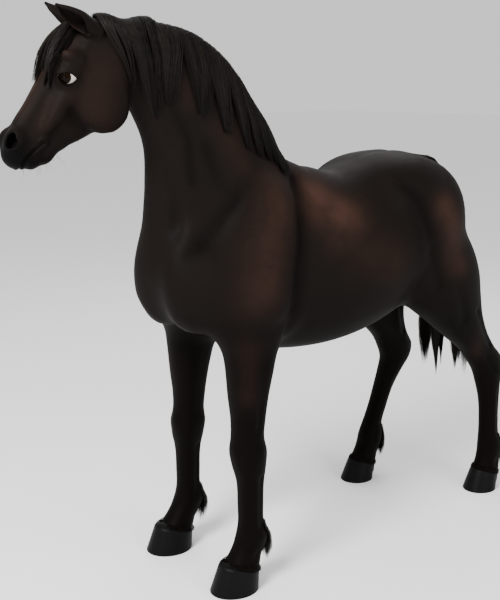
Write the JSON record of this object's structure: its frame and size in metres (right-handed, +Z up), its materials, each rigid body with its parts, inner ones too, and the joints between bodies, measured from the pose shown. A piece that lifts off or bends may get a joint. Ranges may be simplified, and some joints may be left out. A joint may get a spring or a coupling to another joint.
{
  "type": "horse",
  "caption": "Life-size horse standing still with its head turned slightly aside: compact build, arched neck, black-brown coat, long mane, forelock and tail.",
  "frame": {"origin": "on the floor under the middle of the bounding box", "axes": "+Z up, +X to the horse's left, the horse faces -Y"},
  "size_m": [0.5906, 2.1696, 1.9631],
  "materials": {
    "coat": "short, smooth black-brown hair with a soft sheen",
    "long_hair": "long, nearly black hair in locks",
    "horn": "dark grey hoof horn, satin",
    "eye": "wet dark brown eye"
  },
  "bodies": {
    "root": {"head": "coat", "ear_left": "coat", "ear_right": "coat", "eye_left": "eye", "eye_right": "eye", "neck": "coat", "trunk": "coat", "foreleg_left_upper": "coat", "foreleg_left_lower": "coat", "foreleg_right_upper": "coat", "foreleg_right_lower": "coat", "hindleg_left_upper": "coat", "hindleg_left_lower": "coat", "hindleg_right_upper": "coat", "hindleg_right_lower": "coat", "hoof_fore_left": "horn", "hoof_fore_right": "horn", "hoof_hind_left": "horn", "hoof_hind_right": "horn", "mane": "long_hair", "forelock": "long_hair", "tail": "long_hair"}
  },
  "joints": []
}
